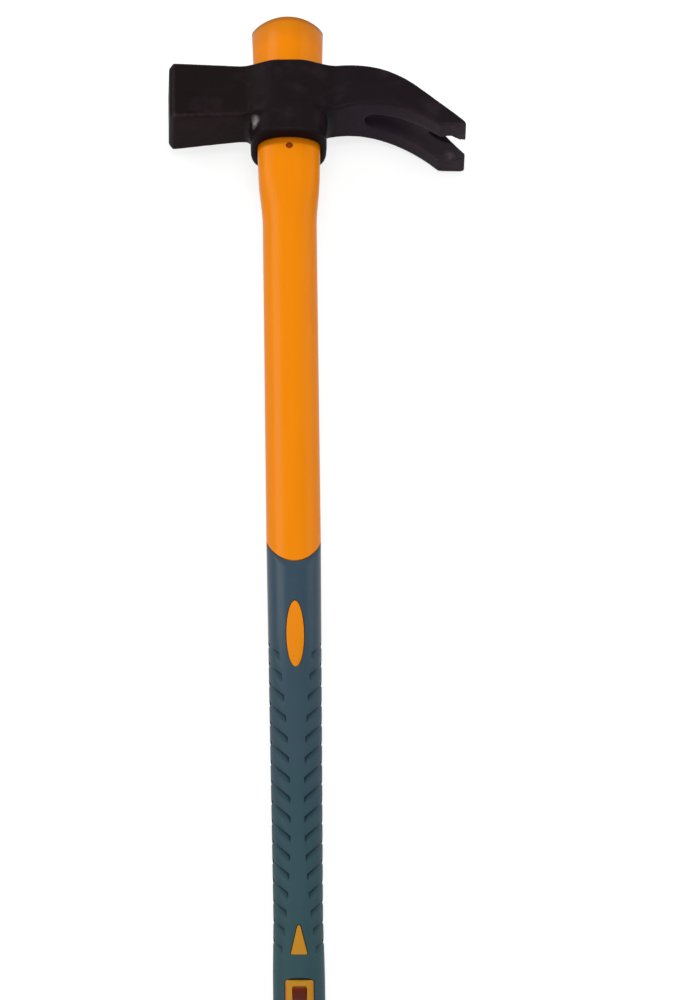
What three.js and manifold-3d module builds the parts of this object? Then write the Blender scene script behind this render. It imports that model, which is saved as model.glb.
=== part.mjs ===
// Formwork hammer: a forged claw head jammed on the flared end of a long jacketed fibreglass handle.
// Built upright: x runs along the head towards the claw, y across it, and z along the handle,
// with the flat top of the head at z = 0. The finished group lies on its side, handle along Y.

import * as THREE from "three";
import { mergeVertices } from "three/addons/utils/BufferGeometryUtils.js";
import Module from "manifold-3d";

// Driving dimensions in millimetres.

// Fits
const CLEARANCE = 0.3; // gap between neighbouring pieces

// Poll, the square striking end
const POLL_REACH = 59.8; // handle axis to striking face
const FACE_HEIGHT = 32.4; // poll at the face
const FACE_WIDTH = 32.6;
const FACE_CHAMFER = 2.2;
const NECK_HEIGHT = 29.7; // poll where it joins the eye
const NECK_WIDTH = 26.8;
const CORNER_RADIUS = 1.3; // long edges of the forging
const CORNER_LIMIT = 0.45; // most of a thin section's height that a corner takes
const FORGE_DRAFT = 0.01; // side slope away from the parting line

// Eye and collar
const EYE_WIDTH = 39.2; // across the cheeks
const CHEEK_FLAT = 10; // straight middle of each cheek
const CHEEK_BLEND = 19; // length of the curve from cheek to neck
const COLLAR_LENGTH = 38.2; // outside, along the head
const COLLAR_DEPTH = 42.7; // head top to collar rim
const COLLAR_FILLET = 4; // under the poll and the claw
const COLLAR_TUCK = 3.2; // how far the collar's top sinks into the cheeks
const COLLAR_POWER = 3; // superellipse exponent
const RIM_RADIUS = 1.4;

// Claw
const CLAW_REACH = 88.1; // handle axis to claw tip
const CLAW_DROP = 39.2; // head top to claw tip
const CLAW_ROOT_HEIGHT = 26.2;
const CLAW_ROOT_WIDTH = 27.8;
const CLAW_TIP_WIDTH = 45;
const CLAW_CREST = 23; // where the top starts to curve down
const CLAW_SLOPE = 0.93; // fall of the straight end of the top
const CLAW_HOLLOW = 7.2; // rise of the underside's curve
const CLAW_FLARE = 0.35; // share of the reach that spreads last
const TIP_BEVEL = 13; // length of the bevel under the tip
const TIP_EDGE = 1.8; // thickness of the tip's edge
const TIP_CORNER = 2; // outer corner of each tine, seen from above
const NOTCH_MOUTH = 11; // V-notch at the tip
const NOTCH_ROOT = 2;
const NOTCH_LENGTH = 18;
const NOTCH_BEVEL = 2.5; // along the notch's upper edges
const NAIL_GROOVE_START = 38; // handle axis to the groove's round end
const NAIL_GROOVE_WIDTH = 10; // at the round end
const NAIL_GROOVE_DEPTH = 4.5;
const NAIL_GROOVE_MOUTH = 24; // width at the tip
const NAIL_GROOVE_FULL = 5.8; // depth between the tines
const NAIL_GROOVE_RUNOUT = 9; // last stretch, where it dies out
const NAIL_GROOVE_LEAST = 0.05; // share of the depth left at the tip

// Handle
const END_STANDOFF = 27.2; // handle end above the head
const END_CROWN = 1.8;
const CROWN_FLAT = 0.1; // share of the end that is level
const END_WIDTH = 35.6;
const END_DEPTH = 31.5;
const SOCKET_WIDTH = 30.6; // at the shoulder below the collar
const SOCKET_DEPTH = 23.4;
const SHOULDER_DROP = 14; // collar rim to shoulder
const NECKING_LENGTH = 31; // shoulder to shaft
const SHAFT_WIDTH = 26.9;
const SHAFT_DEPTH = 22.5;
const WAIST_WIDTH = 24.3; // slimmest part of the grip
const WAIST_DEPTH = 20.6;
const WAIST_RISE = 98; // butt to the waist
const FLARE_LENGTH = 42; // waist to the full butt
const BUTT_WIDTH = 25.4;
const BUTT_DEPTH = 21.8;
const HANDLE_LENGTH = 609;
const BUTT_ROUNDING = 7;
const END_POWER = 1.3; // under 2, the flared end's sides come to a soft edge
const SOCKET_POWER = 3.6; // over 2, the front is flatter than an oval's
const SHAFT_POWER = 2;
const CORE_DIAMETER = 13;
const CORE_RECESS = 0.6; // core end below the crown
const CORE_MARGIN = 8; // core end above the hang hole's frame
const PIN_DIAMETER = 3;
const PIN_DROP = 4.3; // collar rim to pin axis
const PIN_RECESS = 1.2;

// Grip
const GRIP_LENGTH = 309.5; // butt to the points of the grip's edge
const GRIP_WALL = 2.2;
const GRIP_END = 5; // rubber under the butt
const SCALLOP_DEPTH = 17.9; // front and back of the edge, cut lower
const SCALLOP_POWER = 1.2;
const OVAL_WINDOW_WIDTH = 8.8;
const OVAL_WINDOW_LENGTH = 38;
const OVAL_WINDOW_DROP = 59.6; // grip points to window centre
const TRIANGLE_WIDTH = 8.5;
const TRIANGLE_LENGTH = 20.2;
const TRIANGLE_RISE = 66.8; // butt to the triangle's base
const WINDOW_CORNER = 0.9;
const HANG_HOLE_WIDTH = 7.2;
const HANG_HOLE_LENGTH = 22;
const HANG_HOLE_RISE = 26.9; // butt to the hole's lower end
const HANG_FRAME_BAR = 3.4;
const HANG_FRAME_END = 4.3;
const CHEVRON_COUNT = 16;
const CHEVRON_DROP = 58; // grip points to the first chevron
const CHEVRON_PITCH = 11.26;
const CHEVRON_SLOPE = 1.15; // fall of a groove per length round the grip
const CHEVRON_FLOOR = 1.6;
const CHEVRON_RAMP = 2.8; // slope from the floor back to the surface
const CHEVRON_DEPTH = 1.3;
const CHEVRON_WALL = 0.4; // steep upper side and inner end of a groove
const BAND_MIDDLE = 3.7; // half-width of the smooth band
const BAND_END = 8.3;

// Facets
const OVAL_SIDES = 32;
const CORNER_STEPS = 3;
const EYE_STEPS = 16;
const CLAW_STEPS = 12;
const TIP_STEPS = 3;
const ROUND_STEPS = 4;
const SCALLOP_STEPS = 16;
const TAPER_STEPS = 8;
const CHEVRON_STEPS = 5;
const PIN_SIDES = 20;

// Heights along the handle, from the top of the head.
const endZ = END_STANDOFF;
const rimZ = -COLLAR_DEPTH;
const shoulderZ = rimZ - SHOULDER_DROP;
const shaftZ = shoulderZ - NECKING_LENGTH;
const buttZ = endZ - HANDLE_LENGTH;
const gripZ = buttZ + GRIP_LENGTH;
const holeZ = buttZ + HANG_HOLE_RISE + HANG_HOLE_LENGTH / 2;
const frameHalf = HANG_HOLE_LENGTH / 2 + HANG_FRAME_END;
const waistZ = buttZ + WAIST_RISE;
const pinZ = rimZ - PIN_DROP;

const { lerp, smoothstep, clamp } = THREE.MathUtils;
const X = new THREE.Vector3(1, 0, 0);
const Y = new THREE.Vector3(0, 1, 0);
const Z = new THREE.Vector3(0, 0, 1);

const wasm = await Module();
wasm.setup();

// Solids

function solidOf(geometry) {
  const bare = geometry.clone();
  bare.deleteAttribute("normal");
  bare.deleteAttribute("uv");
  const merged = mergeVertices(bare, 1e-4);
  return new wasm.Manifold(
    new wasm.Mesh({
      numProp: 3,
      vertProperties: new Float32Array(merged.attributes.position.array),
      triVerts: new Uint32Array(merged.index.array),
    }),
  );
}

function meshOf(name, solid, material) {
  const { vertProperties, triVerts } = solid.getMesh();
  const geometry = new THREE.BufferGeometry();
  geometry.setAttribute("position", new THREE.BufferAttribute(vertProperties, 3));
  geometry.setIndex(new THREE.BufferAttribute(triVerts, 1));
  geometry.computeVertexNormals();
  const mesh = new THREE.Mesh(geometry, material);
  mesh.name = name;
  return mesh;
}

// A closed skin over rings of equal count, each turning counter-clockwise about the way they run.
function loft(rings) {
  const count = rings[0].length;
  const positions = rings.flat().flatMap((p) => [p.x, p.y, p.z]);
  const indices = [];
  for (let i = 0; i + 1 < rings.length; i++) {
    for (let j = 0; j < count; j++) {
      const a = i * count + j;
      const b = i * count + ((j + 1) % count);
      indices.push(a, b, b + count, a, b + count, a + count);
    }
  }
  const cap = (ring, first, facesBack) => {
    const centre = new THREE.Vector3();
    ring.forEach((p) => centre.addScaledVector(p, 1 / count));
    const hub = positions.length / 3;
    positions.push(centre.x, centre.y, centre.z);
    for (let j = 0; j < count; j++) {
      const a = first + j;
      const b = first + ((j + 1) % count);
      indices.push(hub, facesBack ? b : a, facesBack ? a : b);
    }
  };
  cap(rings[0], 0, true);
  cap(rings.at(-1), (rings.length - 1) * count, false);
  const geometry = new THREE.BufferGeometry();
  geometry.setAttribute("position", new THREE.Float32BufferAttribute(positions, 3));
  geometry.setIndex(indices);
  return solidOf(geometry);
}

// A flat outline pushed both ways along one axis, from -reach to +reach.
function prism(shape, right, up, reach, curveSegments = CORNER_STEPS) {
  const options = { depth: 2 * reach, bevelEnabled: false, curveSegments };
  const geometry = new THREE.ExtrudeGeometry(shape, options);
  const out = right.clone().cross(up);
  geometry.translate(0, 0, -reach);
  geometry.applyMatrix4(new THREE.Matrix4().makeBasis(right, up, out));
  return solidOf(geometry);
}

function steps(start, end, count) {
  return Array.from({ length: count + 1 }, (_, i) => lerp(start, end, i / count));
}

// Outlines

function superellipse(angle, power, alongPower = power) {
  const bend = (v, exponent) => Math.sign(v) * Math.abs(v) ** (2 / exponent);
  return [bend(Math.cos(angle), alongPower), bend(Math.sin(angle), power)];
}

function ovalRing(halfX, halfY, z, power, alongPower = power, backX = halfX) {
  return Array.from({ length: OVAL_SIDES }, (_, i) => {
    const [cx, cy] = superellipse((2 * Math.PI * i) / OVAL_SIDES, power, alongPower);
    return new THREE.Vector3(cx * (cx < 0 ? backX : halfX), cy * halfY, z);
  });
}

function roundedRectangle(width, height, radius, z) {
  const x = width / 2 - radius;
  const y = height / 2 - radius;
  const shape = new THREE.Shape();
  shape.absarc(x, z + y, radius, 0, Math.PI / 2);
  shape.absarc(-x, z + y, radius, Math.PI / 2, Math.PI);
  shape.absarc(-x, z - y, radius, Math.PI, 1.5 * Math.PI);
  shape.absarc(x, z - y, radius, 1.5 * Math.PI, 2 * Math.PI);
  return shape;
}

// An upright isosceles triangle with round corners, grown evenly by a margin.
function roundedTriangle(width, length, baseZ, margin) {
  const halfApex = Math.atan2(width / 2, length);
  const corner = WINDOW_CORNER;
  const apexZ = baseZ + length - corner / Math.sin(halfApex);
  const footX = width / 2 - corner / Math.tan((Math.PI / 2 - halfApex) / 2);
  const radius = corner + margin;
  const shape = new THREE.Shape();
  shape.absarc(footX, baseZ + corner, radius, -Math.PI / 2, halfApex);
  shape.absarc(0, apexZ, radius, halfApex, Math.PI - halfApex);
  shape.absarc(-footX, baseZ + corner, radius, Math.PI - halfApex, 1.5 * Math.PI);
  return shape;
}

function quadratic(from, control, to, x) {
  const a = from[0] - 2 * control[0] + to[0];
  const b = 2 * (control[0] - from[0]);
  const c = from[0] - x;
  const root = Math.sqrt(Math.max(0, b * b - 4 * a * c));
  const t = clamp((-2 * c) / (b + root), 0, 1);
  return (1 - t) ** 2 * from[1] + 2 * t * (1 - t) * control[1] + t * t * to[1];
}

// Handle sections: width along the head, depth across it, and how square the oval is

function handleSize(z) {
  if (z >= shoulderZ) {
    const t = (z - shoulderZ) / (endZ - shoulderZ);
    const power = lerp(SOCKET_POWER, END_POWER, t);
    return [lerp(SOCKET_WIDTH, END_WIDTH, t), lerp(SOCKET_DEPTH, END_DEPTH, t), power];
  }
  if (z >= shaftZ) {
    const t = smoothstep(z, shaftZ, shoulderZ);
    const power = lerp(SHAFT_POWER, SOCKET_POWER, t);
    return [lerp(SHAFT_WIDTH, SOCKET_WIDTH, t), lerp(SHAFT_DEPTH, SOCKET_DEPTH, t), power];
  }
  if (z >= waistZ) {
    const t = clamp((gripZ - z) / (gripZ - waistZ), 0, 1);
    return [lerp(SHAFT_WIDTH, WAIST_WIDTH, t), lerp(SHAFT_DEPTH, WAIST_DEPTH, t), SHAFT_POWER];
  }
  const t = smoothstep(waistZ - z, 0, FLARE_LENGTH);
  return [lerp(WAIST_WIDTH, BUTT_WIDTH, t), lerp(WAIST_DEPTH, BUTT_DEPTH, t), SHAFT_POWER];
}

// The flared end runs straight from its section at the shoulder to the one at its end.
function handleRing(z, offset = 0) {
  const section = (sectionZ) => {
    const [width, depth, power] = handleSize(sectionZ);
    return ovalRing(width / 2 + offset, depth / 2 + offset, z, power, SHAFT_POWER);
  };
  if (z <= shoulderZ) return section(z);
  const t = (z - shoulderZ) / (endZ - shoulderZ);
  const end = section(endZ);
  return section(shoulderZ).map((p, i) => p.lerp(end[i], t));
}

// The handle's outside between two heights, lower one first, grown or shrunk by an offset.
function handleLength(lowZ, highZ, offset = 0) {
  const flare = steps(waistZ - FLARE_LENGTH, waistZ, TAPER_STEPS);
  const necking = steps(shaftZ, shoulderZ, TAPER_STEPS);
  const between = [...flare, gripZ, ...necking].filter((z) => z > lowZ && z < highZ);
  return loft([lowZ, ...between, highZ].map((z) => handleRing(z, offset)));
}

// The grip's outside. Its rings fold into points at both sides, so that each groove is four rings,
// and run level at the grip's ends.
function gripRing(z, folded, spread, sunk = 0, inset = 0) {
  const [width, depth] = handleSize(z);
  const band = lerp(BAND_MIDDLE, BAND_END, spread * spread);
  const reach = Math.acos((band / (width / 2)) ** (SHAFT_POWER / 2));
  const radius = (width + depth) / 4;
  const side = steps(-reach, reach, 2 * CHEVRON_STEPS);
  const edge = reach + CHEVRON_WALL / radius;
  const front = [edge, Math.PI / 2, Math.PI - edge];
  const point = (angle, turn, cut) => {
    const [cx, cy] = superellipse(angle, SHAFT_POWER);
    const place = folded ? z - CHEVRON_SLOPE * radius * turn : z;
    const [across, through] = handleSize(place);
    const offset = -inset - cut;
    return new THREE.Vector3(cx * (across / 2 + offset), cy * (through / 2 + offset), place);
  };
  const half = (start) => [
    ...side.map((turn) => point(start + turn, Math.abs(turn), sunk)),
    ...front.map((turn) => point(start + turn, Math.min(turn, Math.PI - turn), 0)),
  ];
  return [...half(0), ...half(Math.PI)];
}

function gripOutside() {
  const rounding = steps(0, Math.PI / 2, ROUND_STEPS).map((angle) => {
    const inset = BUTT_ROUNDING * (1 - Math.sin(angle));
    return gripRing(buttZ + BUTT_ROUNDING * (1 - Math.cos(angle)), false, 1, 0, inset);
  });
  const chevrons = Array.from({ length: CHEVRON_COUNT }, (_, index) => {
    const z = gripZ - CHEVRON_DROP - index * CHEVRON_PITCH;
    const spread = (2 * index) / (CHEVRON_COUNT - 1) - 1;
    const floor = CHEVRON_FLOOR / 2;
    return [
      gripRing(z + floor + CHEVRON_WALL, true, spread),
      gripRing(z + floor, true, spread, CHEVRON_DEPTH),
      gripRing(z - floor, true, spread, CHEVRON_DEPTH),
      gripRing(z - floor - CHEVRON_RAMP, true, spread),
    ];
  });
  return loft([...rounding, ...chevrons.flat().reverse(), gripRing(gripZ, false, 1)]);
}

// The crowned end above the head.
function crown() {
  const [width, depth] = handleSize(endZ);
  const rings = steps(0, Math.PI / 2, ROUND_STEPS).map((angle) => {
    const share = Math.max(Math.cos(angle), CROWN_FLAT);
    const z = endZ + END_CROWN * Math.sin(angle);
    return ovalRing((width / 2) * share, (depth / 2) * share, z, END_POWER, SHAFT_POWER);
  });
  return loft(rings);
}

// Everything below the grip's scalloped edge, which dips at the front and back.
function belowScallop(raise) {
  const half = SHAFT_DEPTH / 2;
  const edge = (y) => gripZ + raise - SCALLOP_DEPTH * (Math.abs(y) / half) ** SCALLOP_POWER;
  const shape = new THREE.Shape();
  shape.moveTo(-half - CLEARANCE, buttZ - CLEARANCE);
  shape.lineTo(half + CLEARANCE, buttZ - CLEARANCE);
  steps(half + CLEARANCE, -half - CLEARANCE, SCALLOP_STEPS).forEach((y) => shape.lineTo(y, edge(y)));
  return prism(shape, Y, Z, SHAFT_WIDTH);
}

// The openings in the grip where the jacket comes through to the surface.
function windows(margin) {
  const oval = new THREE.Shape();
  const ovalZ = gripZ - OVAL_WINDOW_DROP;
  oval.absellipse(
    0,
    ovalZ,
    OVAL_WINDOW_WIDTH / 2 + margin,
    OVAL_WINDOW_LENGTH / 2 + margin,
    0,
    2 * Math.PI,
  );
  const triangle = roundedTriangle(
    TRIANGLE_WIDTH,
    TRIANGLE_LENGTH,
    buttZ + TRIANGLE_RISE,
    margin,
  );
  const frame = roundedRectangle(
    HANG_HOLE_WIDTH + 2 * (HANG_FRAME_BAR + margin),
    2 * (frameHalf + margin),
    WINDOW_CORNER + margin,
    holeZ,
  );
  return [
    prism(oval, X, Z, SHAFT_DEPTH, OVAL_SIDES / 2),
    prism(triangle, X, Z, SHAFT_DEPTH),
    prism(frame, X, Z, SHAFT_DEPTH),
  ];
}

function hangHole() {
  const shape = roundedRectangle(HANG_HOLE_WIDTH, HANG_HOLE_LENGTH, WINDOW_CORNER, holeZ);
  return prism(shape, X, Z, SHAFT_DEPTH);
}

function round(diameter, length) {
  return new THREE.CylinderGeometry(diameter / 2, diameter / 2, length, PIN_SIDES);
}

function pinRod(diameter, length) {
  return solidOf(round(diameter, length).translate(0, 0, pinZ));
}

function coreRod(diameter, highZ) {
  const lowZ = holeZ + frameHalf + CORE_MARGIN;
  const geometry = round(diameter, highZ - lowZ).rotateX(Math.PI / 2);
  return solidOf(geometry.translate(0, 0, (highZ + lowZ) / 2));
}

// Head sections

const clawRootX = CHEEK_FLAT / 2 + CHEEK_BLEND;
const tineX = CLAW_REACH - TIP_CORNER; // where the tines' outer corners start
const heel = [CLAW_REACH - TIP_BEVEL, -CLAW_DROP - TIP_EDGE];

// The top is level, then bends into a straight slope that ends at the tip.
const slopeX = CLAW_REACH - CLAW_DROP / CLAW_SLOPE;
const bendRun = (slopeX - CLAW_CREST) / Math.hypot(1, CLAW_SLOPE);
const bendEnd = [slopeX + bendRun, -bendRun * CLAW_SLOPE];

function headTop(x) {
  if (x >= bendEnd[0]) return -CLAW_DROP + (CLAW_REACH - x) * CLAW_SLOPE;
  return quadratic([CLAW_CREST, 0], [slopeX, 0], bendEnd, Math.max(x, CLAW_CREST));
}

function headBottom(x) {
  if (x <= -clawRootX) {
    const t = (x + POLL_REACH) / (POLL_REACH - clawRootX);
    return -lerp(FACE_HEIGHT, NECK_HEIGHT, t);
  }
  if (x <= clawRootX) {
    return -lerp(NECK_HEIGHT, CLAW_ROOT_HEIGHT, (x + clawRootX) / (2 * clawRootX));
  }
  const root = [clawRootX, -CLAW_ROOT_HEIGHT];
  const middle = [(clawRootX + heel[0]) / 2, -CLAW_ROOT_HEIGHT + CLAW_HOLLOW];
  return x < heel[0] ? quadratic(root, middle, heel, x) : heel[1];
}

function headHalfWidth(x) {
  if (x <= -clawRootX) {
    return lerp(FACE_WIDTH, NECK_WIDTH, (x + POLL_REACH) / (POLL_REACH - clawRootX)) / 2;
  }
  if (x <= clawRootX) {
    const neck = lerp(NECK_WIDTH, CLAW_ROOT_WIDTH, (x + clawRootX) / (2 * clawRootX));
    const cheek = 1 - smoothstep(Math.abs(x), CHEEK_FLAT / 2, clawRootX);
    return lerp(neck, EYE_WIDTH, cheek) / 2;
  }
  const spread = [lerp(tineX, clawRootX, CLAW_FLARE), CLAW_TIP_WIDTH];
  const width = quadratic([clawRootX, CLAW_ROOT_WIDTH], spread, [tineX, CLAW_TIP_WIDTH], x);
  const past = Math.max(0, x - tineX);
  return width / 2 - TIP_CORNER + Math.sqrt(TIP_CORNER ** 2 - past ** 2);
}

// A section of the forging across the head: round corners, sides sloping from the parting line.
function headRing(x, inset = 0) {
  const top = headTop(x) - inset;
  const bottom = headBottom(x) + inset;
  const half = headHalfWidth(x) - inset;
  const middle = (top + bottom) / 2;
  const inCheek = 1 - smoothstep(Math.abs(x), CHEEK_FLAT / 2, clawRootX);
  const draft = FORGE_DRAFT * (top - bottom) * (1 - inCheek);
  const radius = Math.min(CORNER_RADIUS, CORNER_LIMIT * (top - bottom));
  const corner = (sideY, sideZ, from) =>
    steps(from, from + Math.PI / 2, CORNER_STEPS).map((angle) => {
      const y = sideY * (half - draft - radius) + radius * Math.cos(angle);
      const z = (sideZ > 0 ? top - radius : bottom + radius) + radius * Math.sin(angle);
      return new THREE.Vector3(x, y, z);
    });
  return [
    new THREE.Vector3(x, half, middle),
    ...corner(1, 1, 0),
    ...corner(-1, 1, Math.PI / 2),
    new THREE.Vector3(x, -half, middle),
    ...corner(-1, -1, Math.PI),
    ...corner(1, -1, 1.5 * Math.PI),
  ];
}

function forging() {
  const eye = steps(-clawRootX, clawRootX, EYE_STEPS);
  const claw = steps(clawRootX, heel[0], CLAW_STEPS).slice(1);
  const tip = steps(heel[0], tineX, TIP_STEPS).slice(1);
  const corner = steps(0, Math.PI / 2, CORNER_STEPS).slice(1);
  const tines = corner.map((angle) => tineX + TIP_CORNER * Math.sin(angle));
  return loft([
    headRing(-POLL_REACH, FACE_CHAMFER),
    headRing(-POLL_REACH + FACE_CHAMFER),
    ...[...eye, ...claw, ...tip, ...tines].map((x) => headRing(x)),
  ]);
}

// The collar below the eye: it flares in a fillet under the poll and under the claw, its rim is round,
// and its top sinks into the cheeks.
function collar() {
  const half = COLLAR_LENGTH / 2;
  const flare = (z, underside) => {
    const up = clamp((z - underside + COLLAR_FILLET) / COLLAR_FILLET, 0, 1);
    return half + COLLAR_FILLET * (1 - Math.sqrt(1 - up * up));
  };
  const fillet = steps(-CLAW_ROOT_HEIGHT, -NECK_HEIGHT - COLLAR_FILLET, TAPER_STEPS).reverse();
  const rim = steps(0, Math.PI / 2, CORNER_STEPS).map((angle) => {
    const inset = RIM_RADIUS * (1 - Math.sin(angle));
    const z = rimZ + RIM_RADIUS * (1 - Math.cos(angle));
    return ovalRing(half - inset, EYE_WIDTH / 2 - inset, z, COLLAR_POWER);
  });
  const topZ = -CLAW_ROOT_HEIGHT / 2;
  const tuck = steps(-CLAW_ROOT_HEIGHT, topZ, CORNER_STEPS).slice(1);
  const skirt = [...fillet, ...tuck].map((z) => {
    const across = EYE_WIDTH / 2 - COLLAR_TUCK * smoothstep(z, -CLAW_ROOT_HEIGHT, topZ);
    const front = flare(z, -CLAW_ROOT_HEIGHT);
    return ovalRing(front, across, z, COLLAR_POWER, COLLAR_POWER, flare(z, -NECK_HEIGHT));
  });
  return loft([...rim, ...skirt]);
}

// The V-notch between the tines, open right through, with bevelled upper edges that follow the claw's top.
function vNotch() {
  const apexX = CLAW_REACH - NOTCH_LENGTH;
  const low = -CLAW_DROP - NOTCH_LENGTH;
  const slices = steps(0, 1 + TIP_BEVEL / NOTCH_LENGTH, CLAW_STEPS).map((t) => {
    const x = lerp(apexX, CLAW_REACH, t);
    const half = lerp(NOTCH_ROOT, NOTCH_MOUTH, t) / 2;
    const bevel = NOTCH_BEVEL * smoothstep(t, 0, NOTCH_ROOT / NOTCH_BEVEL);
    const sill = headTop(Math.min(x, CLAW_REACH)) - bevel;
    const brim = half + 2 * bevel;
    const outline = [
      [-half, low],
      [half, low],
      [half, sill],
      [brim, sill + 2 * bevel + CLEARANCE],
      [-brim, sill + 2 * bevel + CLEARANCE],
      [-half, sill],
    ];
    return outline.map(([y, z]) => new THREE.Vector3(x, y, z));
  });
  return loft(slices);
}

// The blind groove under the claw that leads a nail into the notch. It starts round, deepens and dies out.
function nailGroove() {
  const noseX = NAIL_GROOVE_START + NAIL_GROOVE_WIDTH / 2;
  const quarter = steps(0, Math.PI / 2, ROUND_STEPS).slice(1);
  const nose = quarter.map((angle) => [noseX - (NAIL_GROOVE_WIDTH / 2) * Math.cos(angle), Math.sin(angle)]);
  const run = steps(noseX, CLAW_REACH, CLAW_STEPS).slice(1).map((x) => [x, 1]);
  const past = [CLAW_REACH + NAIL_GROOVE_MOUTH, 1];
  const slices = [...nose, ...run, past].map(([x, size]) => {
    const t = (x - NAIL_GROOVE_START) / (CLAW_REACH - NAIL_GROOVE_START);
    const half = (lerp(NAIL_GROOVE_WIDTH, NAIL_GROOVE_MOUTH, t) / 2) * size;
    const runout = smoothstep(x, CLAW_REACH - NAIL_GROOVE_RUNOUT, CLAW_REACH);
    const left = lerp(1, NAIL_GROOVE_LEAST, runout);
    const depth = lerp(NAIL_GROOVE_DEPTH, NAIL_GROOVE_FULL, t) * size * left;
    return Array.from({ length: PIN_SIDES }, (_, i) => {
      const angle = (2 * Math.PI * i) / PIN_SIDES;
      return new THREE.Vector3(x, half * Math.cos(angle), headBottom(x) + depth * Math.sin(angle));
    });
  });
  return loft(slices);
}

// Pieces

function hammerHead() {
  const bore = handleLength(rimZ - RIM_RADIUS, CLEARANCE, CLEARANCE);
  return forging().add(collar()).subtract(bore).subtract(vNotch()).subtract(nailGroove());
}

function handleJacket() {
  const seatInset = -GRIP_WALL - CLEARANCE;
  const seat = handleLength(buttZ + GRIP_END + CLEARANCE, gripZ, seatInset);
  const whole = handleLength(buttZ + BUTT_ROUNDING, endZ);
  const shaft = whole.subtract(belowScallop(CLEARANCE)).add(crown());
  const islands = windows(0).map((island) => island.intersect(whole));
  const body = islands.reduce((sum, island) => sum.add(island), shaft.add(seat));
  const coreBore = coreRod(CORE_DIAMETER + 2 * CLEARANCE, endZ + 2 * END_CROWN);
  const pinBore = pinRod(PIN_DIAMETER + 2 * CLEARANCE, SOCKET_DEPTH + END_DEPTH);
  return body.subtract(coreBore).subtract(pinBore).subtract(hangHole());
}

function fibreglassCore() {
  const pinBore = pinRod(PIN_DIAMETER + 2 * CLEARANCE, SOCKET_DEPTH + END_DEPTH);
  return coreRod(CORE_DIAMETER, endZ + END_CROWN - CORE_RECESS).subtract(pinBore);
}

function gripSleeve() {
  const lining = handleLength(buttZ + GRIP_END, gripZ + CLEARANCE, -GRIP_WALL);
  const sleeve = gripOutside().intersect(belowScallop(0)).subtract(lining);
  return windows(CLEARANCE).reduce((rest, opening) => rest.subtract(opening), sleeve);
}

function retainingPin() {
  const [, depth] = handleSize(pinZ);
  return pinRod(PIN_DIAMETER, depth - 2 * PIN_RECESS);
}

// Materials

function finish(color, roughness, metalness) {
  return new THREE.MeshStandardMaterial({ color, roughness, metalness });
}

const blackSteel = finish(0x1f1a1a, 0.45, 0.6);
const orangePlastic = finish(0xf08902, 0.4, 0);
const greyRubber = finish(0x3c4e5a, 0.65, 0);
const rawFibreglass = finish(0xb9a878, 0.6, 0);
const pinSteel = finish(0x6b6b6b, 0.4, 0.9);

const upright = new THREE.Group();
upright.add(
  meshOf("hammer_head", hammerHead(), blackSteel),
  meshOf("handle_jacket", handleJacket(), orangePlastic),
  meshOf("fibreglass_core", fibreglassCore(), rawFibreglass),
  meshOf("grip_sleeve", gripSleeve(), greyRubber),
  meshOf("retaining_pin", retainingPin(), pinSteel),
);

// Laid on its side, with the middle of its underside at the origin.
upright.rotation.x = -Math.PI / 2;
upright.position.set(
  (POLL_REACH - CLAW_REACH) / 2,
  -(endZ + END_CROWN + buttZ) / 2,
  CLAW_TIP_WIDTH / 2,
);

const hammer = new THREE.Group();
hammer.add(upright);

export default hammer;
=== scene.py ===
# Formwork hammer lying on a pale studio floor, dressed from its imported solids. Metres, +Z up.

import math

import bmesh
import bpy
from mathutils import Matrix, Vector, noise


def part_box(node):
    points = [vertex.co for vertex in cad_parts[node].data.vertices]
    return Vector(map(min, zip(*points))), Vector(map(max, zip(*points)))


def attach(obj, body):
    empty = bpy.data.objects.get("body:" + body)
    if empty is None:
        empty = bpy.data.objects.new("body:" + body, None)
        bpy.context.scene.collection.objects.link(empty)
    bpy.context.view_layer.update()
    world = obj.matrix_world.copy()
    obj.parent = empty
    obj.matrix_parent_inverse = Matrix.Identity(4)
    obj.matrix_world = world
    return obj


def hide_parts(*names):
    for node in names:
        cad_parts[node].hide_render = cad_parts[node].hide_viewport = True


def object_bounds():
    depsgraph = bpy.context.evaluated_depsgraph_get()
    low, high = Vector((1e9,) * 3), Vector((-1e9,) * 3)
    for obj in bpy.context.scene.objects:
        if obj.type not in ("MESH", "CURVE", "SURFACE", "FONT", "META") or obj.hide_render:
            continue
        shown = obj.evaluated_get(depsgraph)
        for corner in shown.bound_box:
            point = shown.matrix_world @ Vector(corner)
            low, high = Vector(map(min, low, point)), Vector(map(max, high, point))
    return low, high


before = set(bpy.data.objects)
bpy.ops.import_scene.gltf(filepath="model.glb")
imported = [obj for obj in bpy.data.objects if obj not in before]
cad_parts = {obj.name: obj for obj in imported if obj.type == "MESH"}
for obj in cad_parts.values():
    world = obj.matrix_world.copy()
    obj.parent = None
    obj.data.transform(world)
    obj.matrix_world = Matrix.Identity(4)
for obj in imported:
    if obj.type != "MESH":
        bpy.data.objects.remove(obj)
cad_low, cad_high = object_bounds()

# The picture, in pixels
IMAGE_WIDTH = 695
IMAGE_HEIGHT = 1000
HEAD_PIXEL = (287.95, 79.5)  # where the handle's axis leaves the top of the head

# The camera: a long lens far off, looking down on the hammer from the butt's end
FOCAL_PIXELS = 20000
HEAD_DISTANCE = 10.0
TILT = math.radians(32)
YAW = math.radians(-1.5)
ROLL = math.radians(-0.80)
SENSOR_HEIGHT = 36.0
CLIP_END = 200

# Sizes below are in millimetres: x along the head from the handle's axis, y across it,
# z along the handle from the head's flat top.
MM = 0.001

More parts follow.
